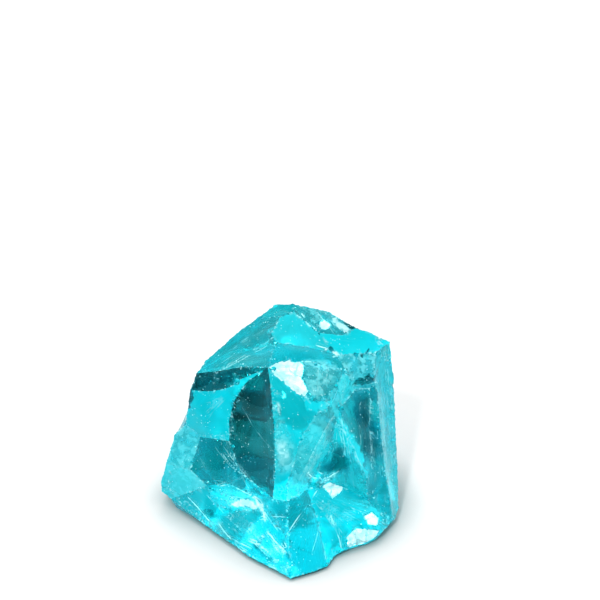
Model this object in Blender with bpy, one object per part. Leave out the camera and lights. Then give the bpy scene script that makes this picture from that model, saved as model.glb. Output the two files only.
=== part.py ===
"""Rough aquamarine: one broken, glass-clear stone with shell-like fracture faces.

The stone is a closed net of named corners. Each face between them is filled with
a sheet that is bent like a struck chip: dished or bulging, with ripples that
spread from one corner. It rests on a flat base.
"""

import math
import random

import bpy
import bmesh
import numpy as np
from mathutils.geometry import delaunay_2d_cdt

MM = 0.001  # the corners and sizes below are in millimetres

# Driving dimensions
GRAIN = 1.15  # spacing of the points on faces and edges
BASE_INSET = 1.0  # how far the resting face lies inside the rim
EDGE_CHIP = 0.14  # depth of the small scallops along an edge
CHIP_LENGTH = 2.6  # usual length of one scallop
RIPPLE_LENGTH = 6.0  # distance from crest to crest of the shell ripples
RIPPLE_HEIGHT = 0.16  # height of the ripples, where a face asks for no other

# Corners: x to the right, y to the back, z up, with the front of the stone at -y
CORNERS = {
    # the crest, from the left shoulder over the peak to the right
    "shoulder": (-15.5, 5.0, 28.0),
    "slope_low": (-13.7, 6.9, 29.6),
    "slope_mid": (-7.3, 11.4, 33.2),
    "slope_high": (-4.0, 13.0, 35.0),
    "peak_left": (-0.8, 15.0, 36.6),
    "peak": (2.6, 14.2, 37.2),
    "crest_left": (9.3, 13.4, 36.0),
    "crest_mid": (13.6, 11.3, 34.2),
    "crest_right": (17.1, 10.7, 33.0),
    "right_top": (20.7, 9.9, 31.4),
    # the sloping table on top
    "table_back": (2.8, 12.9, 36.4),
    "table_notch": (0.2, 11.7, 35.9),
    "table_left": (-1.5, 8.3, 34.6),
    "table_front": (-0.6, 7.2, 33.4),
    "table_lip": (4.7, 6.8, 32.7),
    "table_right": (10.9, 6.0, 31.4),
    "table_dip": (7.2, 8.8, 34.4),
    "table_edge": (12.2, 9.2, 33.4),
    "brow_right": (18.0, 7.8, 30.5),
    # the ridge above the left face
    "ridge_low": (-10.8, 4.2, 29.2),
    "ridge_high": (-6.7, 3.5, 30.6),
    # the shallow scoop under the table
    "scoop_left": (-2.1, 2.0, 31.4),
    "scoop_top": (1.8, 3.6, 31.8),
    "scoop_brow": (7.1, 3.8, 31.2),
    "scoop_right": (12.3, 3.1, 29.8),
    "scoop_tip": (8.3, -2.9, 27.2),
    "scoop_low": (5.9, -3.4, 27.6),
    "scoop_mid": (1.7, -0.6, 29.4),
    # left of the front edge
    "leaf_end": (-16.7, 3.7, 25.0),
    "leaf_low": (-12.5, 2.8, 25.4),
    "leaf_mid": (-9.0, 2.2, 26.8),
    "leaf_high": (-7.1, 1.9, 28.8),
    "petal_high": (-6.2, 1.6, 28.3),
    "petal_upper": (-8.5, 1.2, 24.3),
    "petal_side": (-9.5, 0.3, 20.3),
    "petal_lower": (-9.5, -1.6, 17.1),
    "petal_foot": (-7.3, -5.2, 12.4),
    # the front edge, from top to bottom
    "keel_high": (-1.6, -1.6, 28.8),
    "keel_upper": (-1.1, -4.8, 24.2),
    "keel_mid": (-0.9, -7.2, 19.3),
    "keel_lower": (-1.0, -9.4, 14.8),
    "keel_foot": (-1.4, -10.9, 10.8),
    # the left flank
    "side_high": (-17.8, 3.0, 17.6),
    "side_mid": (-15.0, 1.4, 15.8),
    "side_low": (-17.0, -1.2, 10.0),
    "heel": (-22.8, 0.2, 6.0),
    "heel_low": (-22.6, 0.3, 3.4),
    "heel_mid": (-21.7, 1.2, 9.5),
    "heel_high": (-20.0, 3.0, 15.0),
    # the foot, left of its ridge
    "arc_left": (-13.8, -3.6, 8.0),
    "arc_mid": (-9.6, -4.6, 9.3),
    "arc_right": (-5.4, -8.0, 9.4),
    "arc_end": (-3.4, -9.6, 7.6),
    "step_left": (-12.9, -5.2, 5.4),
    "step_right": (-8.3, -7.9, 5.2),
    "foot_top": (1.2, -11.8, 11.0),
    "foot_ridge": (1.5, -16.7, 5.9),
    # the foot, right of its ridge
    "foot_a": (3.6, -10.6, 11.2),
    "foot_b": (5.1, -8.6, 11.2),
    "foot_c": (7.9, -7.0, 10.6),
    "foot_d": (11.9, -5.9, 9.2),
    "foot_e": (13.9, -6.0, 8.0),
    "foot_f": (16.4, -6.3, 6.4),
    "foot_g": (19.8, -7.9, 3.6),
    "fan_mid": (7.0, -12.4, 6.6),
    "ledge_left": (12.3, -13.0, 2.6),
    "ledge_mid": (14.3, -11.9, 2.9),
    "ledge_right": (17.5, -11.4, 2.7),
    # under the brow on the right
    "nook_left": (13.1, 3.6, 27.2),
    "nook_right": (17.5, 3.9, 27.6),
    "lens_right": (18.0, 4.2, 25.1),
    "lens_left": (14.2, 3.6, 25.1),
    # the long flute down the front
    "flute_top": (11.1, -1.4, 24.2),
    "flute_a": (6.3, -4.0, 24.2),
    "flute_b": (3.9, -5.6, 21.0),
    "flute_c": (2.5, -8.0, 16.6),
    "flute_d": (1.4, -9.7, 14.0),
    "flute_e": (10.0, -2.6, 18.9),
    "flute_f": (9.1, -3.6, 16.1),
    "flute_g": (6.8, -5.4, 13.3),
    "crease_high": (13.3, -4.8, 17.8),
    "crease_low": (16.1, -6.2, 11.8),
    # the edge on the right and the flank behind it
    "edge_high": (18.2, 2.6, 25.1),
    "edge_mid": (19.5, -2.2, 12.8),
    "edge_low": (21.1, -6.8, 3.0),
    "flank_high": (21.6, 8.2, 24.6),
    "flank_mid": (21.9, 4.6, 17.2),
    "flank_low": (22.3, 1.3, 9.0),
    # the rim just above the ground, clockwise seen from above
    "rim_toe": (1.8, -21.3, 0.6),
    "rim_front_left": (-5.7, -15.5, 0.7),
    "rim_left": (-14.4, -6.5, 0.9),
    "rim_heel": (-20.9, -0.1, 2.0),
    "rim_left_back": (-21.2, 6.0, 1.8),
    "rim_back_left": (-17.5, 12.0, 1.0),
    "rim_back": (-5.0, 18.2, 0.8),
    "rim_back_right": (9.5, 18.0, 0.8),
    "rim_right_back": (19.0, 12.0, 1.0),
    "rim_right": (22.2, 3.5, 1.2),
    "rim_corner": (22.5, -3.3, 2.0),
    "rim_right_front": (21.8, -5.7, 1.6),
    "rim_ledge_right": (18.9, -10.2, 1.8),
    "rim_ledge_mid": (16.7, -11.9, 1.8),
    "rim_ledge_left": (14.0, -13.0, 1.6),
    "rim_front_right": (10.2, -15.2, 0.8),
    "rim_front_mid": (8.7, -18.1, 0.7),
    "rim_front": (5.9, -19.6, 0.6),
    # the back, which the picture hides
    "back_shoulder": (-19.0, 10.0, 12.0),
    "back_upper_left": (-9.0, 17.0, 20.0),
    "back_upper": (4.0, 18.8, 25.0),
    "back_upper_right": (15.0, 16.5, 22.0),
    "back_right": (20.6, 12.0, 12.0),
    "back_lower_left": (-6.0, 19.3, 7.5),
    "back_lower_right": (10.0, 19.5, 9.5),
}

RIM = [name for name in CORNERS if name.startswith("rim_")]

# Faces: the corners round each one, how far it bulges (hollow if negative), and
# the corner that its ripples spread from, with their height
FACES = {
    "brow": ("slope_high peak_left peak table_back table_notch", 0.15, "peak", 0.05),
    "left_slope": (
        "shoulder slope_low slope_mid slope_high table_notch table_left table_front"
        " scoop_left ridge_high ridge_low",
        0.5, "slope_high", None,
    ),
    "table": (
        "table_back table_notch table_left table_front table_lip table_right table_dip",
        -0.3, "table_back", 0.08,
    ),
    "streak": ("peak crest_left crest_mid table_edge table_dip table_back", -0.5, "crest_mid", None),
    "patch": (
        "crest_mid crest_right right_top brow_right table_right table_dip table_edge",
        0.3, "right_top", None,
    ),
    "forehead": (
        "table_front table_lip table_right scoop_right scoop_brow scoop_top scoop_left",
        -0.3, "table_front", 0.08,
    ),
    "grey": ("table_right brow_right nook_right nook_left scoop_right", -0.2, "brow_right", 0.08),
    "scoop": (
        "scoop_left scoop_top scoop_brow scoop_right scoop_tip scoop_low scoop_mid",
        -0.9, "scoop_left", None,
    ),
    "lens": ("nook_left nook_right lens_right lens_left", -0.3, "lens_right", 0.0),
    "leaf": (
        "shoulder ridge_low ridge_high scoop_left leaf_high leaf_mid leaf_low leaf_end",
        -0.4, "shoulder", 0.1,
    ),
    "cheek": (
        "leaf_end leaf_low leaf_mid leaf_high scoop_left petal_high petal_upper"
        " petal_side petal_lower side_mid side_high",
        -0.7, "side_high", None,
    ),
    "petal": (
        "scoop_left petal_high petal_upper petal_side petal_lower petal_foot keel_foot"
        " keel_lower keel_mid keel_upper keel_high",
        -0.5, "scoop_left", None,
    ),
    "jowl": (
        "side_mid petal_lower petal_foot keel_foot arc_right arc_mid arc_left side_low",
        -0.5, "side_low", None,
    ),
    "flank_left_high": ("side_high side_mid side_low heel_mid heel_high", 0.2, "side_mid", None),
    "flank_left_low": ("heel_mid side_low arc_left rim_heel heel_low heel", 0.4, "heel", None),
    "spoon": ("arc_left arc_mid arc_right arc_end step_right step_left", -0.8, "arc_left", 0.1),
    "foot_inner": ("arc_right keel_foot foot_top foot_ridge arc_end", -0.5, "foot_top", 0.1),
    "foot_left": (
        "arc_left step_left step_right arc_end foot_ridge rim_toe rim_front_left"
        " rim_left rim_heel",
        -0.4, "rim_toe", None,
    ),
    "front_right": (
        "scoop_left scoop_mid scoop_low scoop_tip flute_a flute_b flute_c flute_d"
        " foot_top keel_foot keel_lower keel_mid keel_upper keel_high",
        -0.4, "scoop_low", None,
    ),
    "flute": (
        "scoop_right nook_left lens_left flute_top flute_e flute_f flute_g foot_b"
        " foot_a foot_top flute_d flute_c flute_b flute_a scoop_tip",
        -0.7, "lens_left", None,
    ),
    "gusset": (
        "flute_top crease_high crease_low foot_f foot_e foot_d foot_c foot_b flute_g"
        " flute_f flute_e",
        -0.9, "flute_top", None,
    ),
    "column": (
        "lens_left lens_right edge_high edge_mid edge_low foot_g foot_f crease_low"
        " crease_high flute_top",
        0.6, "lens_right", None,
    ),
    "flank_right": (
        "brow_right right_top flank_high flank_mid flank_low rim_corner"
        " rim_right_front edge_low edge_mid edge_high lens_right nook_right",
        0.5, "right_top", None,
    ),
    "foot_middle": (
        "foot_top foot_a foot_b fan_mid rim_front_mid rim_front rim_toe foot_ridge",
        -0.7, "foot_b", None,
    ),
    "foot_right": (
        "foot_b foot_c foot_d foot_e foot_f foot_g edge_low rim_right_front"
        " rim_ledge_right ledge_right ledge_mid ledge_left rim_ledge_left"
        " rim_front_right rim_front_mid fan_mid",
        -0.9, "foot_d", None,
    ),
    "ledge": (
        "ledge_left ledge_mid ledge_right rim_ledge_right rim_ledge_mid rim_ledge_left",
        -0.15, "ledge_mid", 0.0,
    ),
    "left_back_high": (
        "shoulder leaf_end side_high heel_high back_shoulder back_upper_left slope_mid"
        " slope_low",
        -0.8, "shoulder", None,
    ),
    "left_back_low": (
        "heel_high heel_mid heel heel_low rim_left_back rim_back_left back_shoulder",
        0.5, "heel", None,
    ),
    "heel_under": ("heel_low rim_heel rim_left_back", 0.2, "heel", 0.0),
    "back_left": (
        "back_shoulder rim_back_left rim_back back_lower_left back_upper_left",
        -1.0, "back_shoulder", None,
    ),
    "back_high_left": (
        "slope_mid slope_high peak_left peak back_upper back_upper_left",
        0.6, "peak", None,
    ),
    "back_middle": (
        "back_upper_left back_upper back_lower_right back_lower_left",
        -1.1, "back_upper", None,
    ),
    "back_low": ("back_lower_left back_lower_right rim_back_right rim_back", 0.3, "rim_back", None),
    "back_high_right": (
        "peak crest_left crest_mid crest_right back_upper_right back_upper",
        -0.9, "crest_left", None,
    ),
    "back_right_middle": ("back_upper back_upper_right back_lower_right", 0.5, "back_upper", None),
    "back_right_low": (
        "back_lower_right back_upper_right back_right rim_right_back rim_back_right",
        -0.8, "back_upper_right", None,
    ),
    "right_back_high": (
        "crest_right right_top flank_high flank_mid back_right back_upper_right",
        -0.9, "right_top", None,
    ),
    "right_back_low": (
        "flank_mid flank_low rim_corner rim_right rim_right_back back_right",
        0.6, "flank_low", None,
    ),
}


def base_corner(rim_name):
    """The corner of the resting face that lies below and inside a corner of the rim."""
    x, y, _ = CORNERS[rim_name]
    reach = math.hypot(x, y)
    pull = 1.0 - BASE_INSET / reach
    return (x * pull, y * pull, 0.0)


def add_base():
    """Adds the resting face and the narrow undercut facets between it and the rim."""
    corners = dict(CORNERS)
    faces = dict(FACES)
    for name in RIM:
        corners[name.replace("rim_", "base_")] = base_corner(name)
    for here, after in zip(RIM, RIM[1:] + RIM[:1]):
        low_here = here.replace("rim_", "base_")
        low_after = after.replace("rim_", "base_")
        loop = f"{here} {after} {low_after} {low_here}"
        faces["under_" + here] = (loop, 0.0, here, 0.0)
    loop = " ".join(name.replace("rim_", "base_") for name in RIM)
    faces["base"] = (loop, 0.0, "base_toe", 0.0)
    return corners, faces


def chipped_edge(start, end, dice, depth):
    """Points between two corners, set back in scallops towards the middle of the stone."""
    start = np.array(start, float)
    end = np.array(end, float)
    length = np.linalg.norm(end - start)
    steps = max(1, round(length / GRAIN))
    middle = (start + end) / 2
    inward = np.array([0.0, 0.0, 15.0]) - middle
    along = (end - start) / length
    inward -= along * inward.dot(along)
    inward /= np.linalg.norm(inward)
    chips = max(1, round(length / CHIP_LENGTH))
    cusps = [(k + dice.uniform(-0.25, 0.25)) / chips for k in range(1, chips)]
    cusps = [0.0] + cusps + [1.0]
    depths = [depth * dice.uniform(0.3, 1.4) for _ in range(chips)]
    points = []
    for step in range(1, steps):
        t = step / steps
        chip = max(k for k in range(chips) if cusps[k] <= t)
        inside = (t - cusps[chip]) / (cusps[chip + 1] - cusps[chip])
        scallop = depths[chip] * math.sin(math.pi * inside)
        points.append(start + (end - start) * t + inward * scallop)
    return points


class Net:
    """The growing mesh: numbered points, and the triangles that join them."""

    def __init__(self, corners):
        self.corners = corners
        self.points = []
        self.triangles = []
        self.number_of = {}
        self.edges = {}

    def add_point(self, place):
        self.points.append(np.array(place, float))
        return len(self.points) - 1

    def corner(self, name):
        if name not in self.number_of:
            self.number_of[name] = self.add_point(self.corners[name])
        return self.number_of[name]

    def edge(self, start, end):
        """Numbers of the points between two corners, in that order. Both faces share them."""
        if (end, start) in self.edges:
            return self.edges[(end, start)][::-1]
        if (start, end) not in self.edges:
            dice = random.Random(len(self.edges))
            flat = start.startswith("base_") or end.startswith("base_")
            depth = 0.0 if flat else EDGE_CHIP
            places = chipped_edge(self.corners[start], self.corners[end], dice, depth)
            self.edges[(start, end)] = [self.add_point(place) for place in places]
        return self.edges[(start, end)]

    def outline(self, names):
        numbers = []
        for here, after in zip(names, names[1:] + names[:1]):
            numbers.append(self.corner(here))
            numbers.extend(self.edge(here, after))
        return numbers


def plane_of(ring):
    """Middle of a ring of points and the axes of the plane that fits it best."""
    middle = ring.mean(axis=0)
    after = np.roll(ring, -1, axis=0)
    normal = np.cross(ring - middle, after - middle).sum(axis=0)
    normal /= np.linalg.norm(normal)
    across = np.cross(normal, [0.3, 0.5, 0.8])
    across /= np.linalg.norm(across)
    return middle, across, np.cross(normal, across), normal


def distance_to_ring(spots, ring):
    """Shortest distance from each 2-D spot to the closed ring, and which spots lie inside."""
    nearest = np.full(len(spots), np.inf)
    inside = np.zeros(len(spots), bool)
    for a, b in zip(ring, np.roll(ring, -1, axis=0)):
        side = b - a
        share = np.clip((spots - a) @ side / side.dot(side), 0.0, 1.0)
        gap = spots - a - share[:, None] * side
        nearest = np.minimum(nearest, np.hypot(gap[:, 0], gap[:, 1]))
        spans = (a[1] > spots[:, 1]) != (b[1] > spots[:, 1])
        height = np.where(spans, side[1], 1.0)
        crossing = a[0] + (spots[:, 1] - a[1]) * side[0] / height
        inside ^= spans & (spots[:, 0] < crossing)
    return nearest, inside


def grid_inside(ring):
    """Points of a triangular grid that lie inside the ring, clear of its edge."""
    low = ring.min(axis=0)
    high = ring.max(axis=0)
    rows = np.arange(low[1], high[1], GRAIN * math.sqrt(3) / 2)
    spots = [
        (x, y)
        for row, y in enumerate(rows)
        for x in np.arange(low[0] + (row % 2) * GRAIN / 2, high[0], GRAIN)
    ]
    spots = np.array(spots).reshape(-1, 2)
    nearest, inside = distance_to_ring(spots, ring)
    return spots[inside & (nearest > 0.62 * GRAIN)]


def spread_weights(spots, triangles):
    """The matrix of a stretched sheet over the triangles: it pulls each point to its neighbours."""
    count = len(spots)
    matrix = np.zeros((count, count))
    for triangle in triangles:
        for turn in range(3):
            a, b, c = np.roll(triangle, turn)
            to_a = spots[a] - spots[c]
            to_b = spots[b] - spots[c]
            area = abs(to_a[0] * to_b[1] - to_a[1] * to_b[0])
            weight = to_a.dot(to_b) / max(area, 1e-9) / 2
            matrix[a, b] -= weight
            matrix[b, a] -= weight
            matrix[a, a] += weight
            matrix[b, b] += weight
    return matrix


def sheet_heights(spots, triangles, ring_heights):
    """Heights of a sheet stretched over the ring, and a mound of height 1 inside it."""
    fixed = len(ring_heights)
    matrix = spread_weights(spots, triangles)
    free = matrix[fixed:, fixed:]
    heights = np.zeros(len(spots))
    mound = np.zeros(len(spots))
    heights[:fixed] = ring_heights
    heights[fixed:] = np.linalg.solve(free, -matrix[fixed:, :fixed] @ ring_heights)
    mound[fixed:] = np.linalg.solve(free, np.ones(len(free)))
    return heights, mound / mound.max()


def fill_face(net, name, loop, bulge, source, ripple):
    """Triangulates one face and bends it."""
    names = loop.split()
    numbers = net.outline(names)
    ring = np.array([net.points[n] for n in numbers])
    middle, across, upward, normal = plane_of(ring)
    flat = np.column_stack([(ring - middle) @ across, (ring - middle) @ upward])
    inner = grid_inside(flat) if name != "base" else np.zeros((0, 2))
    spots = np.vstack([flat, inner])
    result = delaunay_2d_cdt(
        [tuple(map(float, spot)) for spot in spots], [], [list(range(len(flat)))], 1, 1e-7
    )
    triangles = [list(triangle) for triangle in result[2]]
    if len(result[0]) != len(spots):
        raise ValueError(f"the outline of {name} crosses itself")
    if len(inner):
        heights, mound = sheet_heights(spots, triangles, (ring - middle) @ normal)
        start = np.array(net.corners[source], float) - middle
        reach = np.hypot(spots[:, 0] - start @ across, spots[:, 1] - start @ upward)
        waves = np.sin(2 * math.pi * reach / RIPPLE_LENGTH) * np.sqrt(mound)
        high = RIPPLE_HEIGHT if ripple is None else ripple
        heights = heights + bulge * mound + high * waves
        for spot, height in zip(spots[len(flat):], heights[len(flat):]):
            numbers.append(net.add_point(middle + spot[0] * across + spot[1] * upward + height * normal))
    net.triangles.extend([numbers[k] for k in triangle] for triangle in triangles)


def clear_crystal():
    """Pale blue-green material that light passes through."""
    material = bpy.data.materials.new("aquamarine")
    material.use_nodes = True
    shader = material.node_tree.nodes["Principled BSDF"]
    shader.inputs["Base Color"].default_value = (0.08, 0.76, 0.86, 1.0)
    shader.inputs["Roughness"].default_value = 0.05
    shader.inputs["Metallic"].default_value = 0.0
    shader.inputs["IOR"].default_value = 1.57
    shader.inputs["Transmission Weight"].default_value = 0.9
    return material


def build_stone():
    corners, faces = add_base()
    net = Net(corners)
    for name, (loop, bulge, source, ripple) in faces.items():
        fill_face(net, name, loop, bulge, source, ripple)
    mesh = bpy.data.meshes.new("aquamarine")
    mesh.from_pydata([tuple(point * MM) for point in net.points], [], net.triangles)
    body = bmesh.new()
    body.from_mesh(mesh)
    bmesh.ops.recalc_face_normals(body, faces=body.faces)
    body.to_mesh(mesh)
    body.free()
    stone = bpy.data.objects.new("aquamarine", mesh)
    stone.data.materials.append(clear_crystal())
    bpy.context.scene.collection.objects.link(stone)
    return stone


def clear_scene():
    for thing in list(bpy.data.objects):
        bpy.data.objects.remove(thing)


clear_scene()
build_stone()
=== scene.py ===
"""Looks of the rough aquamarine: clear coloured crystal, chipped ridges, soft studio light."""

import math
import random

import bpy
import bmesh
import numpy as np
from mathutils import Euler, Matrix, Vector, noise
from mathutils.bvhtree import BVHTree


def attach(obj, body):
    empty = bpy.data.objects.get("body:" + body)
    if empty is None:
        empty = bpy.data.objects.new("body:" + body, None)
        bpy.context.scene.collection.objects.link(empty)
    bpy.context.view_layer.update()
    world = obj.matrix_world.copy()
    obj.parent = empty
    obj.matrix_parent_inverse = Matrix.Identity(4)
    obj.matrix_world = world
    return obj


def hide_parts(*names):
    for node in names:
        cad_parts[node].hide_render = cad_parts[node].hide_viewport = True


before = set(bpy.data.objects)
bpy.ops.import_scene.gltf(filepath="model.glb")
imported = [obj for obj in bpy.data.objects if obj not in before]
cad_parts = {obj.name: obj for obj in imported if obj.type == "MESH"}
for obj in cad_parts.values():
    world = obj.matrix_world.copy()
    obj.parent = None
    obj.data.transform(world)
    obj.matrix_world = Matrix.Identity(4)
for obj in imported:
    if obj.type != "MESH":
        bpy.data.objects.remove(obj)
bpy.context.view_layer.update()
NODE = "aquamarine"
MM = 0.001

# Camera, as the photograph has it
LENS = 120.0
SENSOR = 36.0
CAMERA_PLACE = Vector((0.2, -295.5, 246.9)) * MM
CAMERA_PITCH = 34.0  # degrees below the horizon
CAMERA_TURN = 0.69  # degrees to the right of +Y
CAMERA_ANGLES = Euler((math.radians(90 - CAMERA_PITCH), 0, math.radians(-CAMERA_TURN)))
CAMERA_AXES = np.array(CAMERA_ANGLES.to_matrix())
EYE = np.array(CAMERA_PLACE) / MM
PICTURE = 600  # pixels
PIXEL_SCALE = LENS / SENSOR * PICTURE  # pixels for a unit of width at a unit of distance
PIXELS_PER_MM = 5.3  # at the stone

# Stone surface, in millimetres
WELD = 0.001
LINE_WIDTH = 0.27  # the solid's edges keep this near to the straight facet lines
CREASE_ANGLE = 18.0  # degrees: sharper edges of the solid stay sharp too
FACET_REACH = 2.5  # a facet's triangles lie this near to its plane
SMOOTH_LEVELS = 2
RIDGE_REACH = 3.0  # distances from ridges stop at this
RIDGE_FADE = 1.6  # nearer to a ridge than this, swells and ripples fade
FADE_POWER = 1.5
RIPPLE_LENGTH = (1.3, 2.6)
RIPPLE_HEIGHT = (0.003, 0.012)
RIPPLE_SWAY = (0.6, 0.35)  # how much and how often the ripples sway round the strike
RIPPLE_BANDS = 0.55  # radians per millimetre between strong and weak ripples
SWELL_LENGTH = 5.0
SWELL_HEIGHT = 0.05
WEAR_REACH = 0.7  # from a ridge
CRUSHED_WEAR = 0.85
JAG_DEPTH = 0.13  # of the small steps on worn ridges and crushed places
JAG_SPAN = (-1.0, 0.3)
JAG_GROUND = 0.5  # below this height nothing is jagged
CHIP_COUNT = 520
CHIP_GROUPS = 8
CHIP_RADIUS = (0.3, 1.0)
CHIP_DEPTH = (0.04, 0.15)
CHIP_FLATNESS = 0.25  # the deepest chip, as a share of its radius
CHIP_TILT = 0.6
CHIP_GAP = 0.05
CHIP_GROUND = 0.25  # no chip goes lower
RIDGE_GROUND = 0.4  # and no middle of a chipped edge
FINE_CHIP = 0.9  # larger chips get more faces
CHIP_SHAPE = (0.86, 1.0)
CHIP_WEAR = 0.7
CHIP_LOOK = (0.0, 0.1, 0.5, 1.0)
SHARP_ANGLE = 15.0

# Crystal
IOR = 1.57
GLOSS_TINT = (0.05, 0.92, 0.97, 1.0)
ABSORB_COLOR = (0.03, 0.971, 0.986, 1.0)
ABSORB_DENSITY = 260.0  # per metre
AIR_GAP = 0.05  # under the resting face, so that light behaves as under a real stone
CLEAR_TINT = (0.005, 0.94, 0.99, 1.0)
# Painted shade: darkened facets are tinted towards this in place of the stone's dark refractions
PAINTED_SHADE_TINT = (0.0002, 0.016, 0.013, 1.0)
MILK_TINT = (0.005, 0.68, 0.84, 1.0)
PALE_TINT = (0.30, 0.72, 0.80, 1.0)
# White milk: frosted places, and painted highlights where grey reaches 2
WHITE_TINT = (0.92, 0.99, 1.0, 1.0)
# Light marks: real frosting, and painted highlights on fine lines and specks
LIGHT_TINT = (0.50, 0.98, 1.0, 1.0)
# Painted highlight: glint places get white milk on top of their mirror steps
GLINT_GREY, GLINT_MILK, GLINT_LINES = 2.0, 0.85, 0.3

# Lines that spread from a strike: stretch out from it and round it, detail and distortion
STREAKS = (0.10, 0.9, 1.0), 3.0, 0.3
HACKLES = (0.22, 3.2, 1.0), 2.0, 0.2
ARCS = (2.2, 0.25, 1.0), 1.0, 0.2
# Other textures: waves or cells per metre, detail and distortion
CLOUDS = 260.0, 3.0, 0.4
HOLES = 800.0, 4.0, 0.5
SWARMS = 190.0, 2.0
RUNS = 420.0, 2.0
WOBBLES = 700.0, 2.0
GAPS = 450.0, 1.0
SPECKS = 2400.0
SHARDS = 2600.0
# The part of a texture's values that becomes 0 to 1
STREAK_SPAN = (0.40, 0.62)
HACKLE_SPAN = (0.35, 0.70)
THREAD_SPAN = (0.65, 0.95)
CLOUD_SPAN = (0.3, 0.7)
SWARM_SPAN = (0.40, 0.62)
CRUMB_SPAN = (0.55, 0.85)
RUN_SPAN = (0.44, 0.64)
GAP_SPAN = (0.36, 0.56)
HOLE_SPAN = (0.58, 0.44)
# Sizes and strengths
SPECK_GROWTH, SPECK_LEAST, RARITY = 0.34, 0.02, 3.0
SPECK_LIGHT = (0.4, 1.0)
SWARM_SIZE = (0.55, 1.15)
GREY_SPECKS = 0.15  # how much more specks grow on grey facets
WORN_RUNS = 0.10
WOBBLE = 0.24
LINE_EDGE = (0.04, 0.11)  # millimetres from a fine line where it starts and stops fading
STREAK_SHADE = 0.94
STREAK_HAZE = 0.60
HOLE_HAZE = 0.50
WHITE_HOLES = 0.4
THREAD_LIGHT = 0.35
FROST_LIGHT = 0.8
ROUGHNESS = (0.008, 0.03)
LIGHT_ROUGHNESS = 0.2
HACKLE_RELIEF, ARC_RELIEF, FROST_RELIEF = 0.016, 0.006, 0.03

# Light
KEY_DIRECTION = (-160.0, 52.0)  # azimuth and elevation of the small box that makes the glints
KEY_DISTANCE = 0.6
KEY_SIZE = 0.06
KEY_POWER = 1.7
TOP_PLACE = (0.05, 0.22, 0.50)
TOP_SIZE = 0.35
TOP_POWER = 0.15
LIGHT_AIM = Vector((0.0, 0.0, 0.015))
STUDIO_LEVEL, STUDIO_BACK, STUDIO_UP, STUDIO_LEAST = 1.08, 0.84, 0.38, 0.25
STUDIO_SEEN = 0.97  # the studio's brightness where the camera sees it
BOUNCES = 24

# Floor
FLOOR_SIZE = 4.0
FLOOR_TINTS = (0.69, 0.69, 0.69, 1.0), (0.71, 0.71, 0.71, 1.0)
FLOOR_GRAIN = 400.0, 2.0
FLOOR_ROUGHNESS = (0.85, 0.95)
# Painted shadow: within this reach the floor's colour darkens towards the tint where the stone is
# near
PAINTED_SHADOW_REACH = 7.0  # millimetres
PAINTED_SHADOW_POWER = 1.3
PAINTED_SHADOW_TINT = (0.10, 0.20, 0.20, 1.0)

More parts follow.
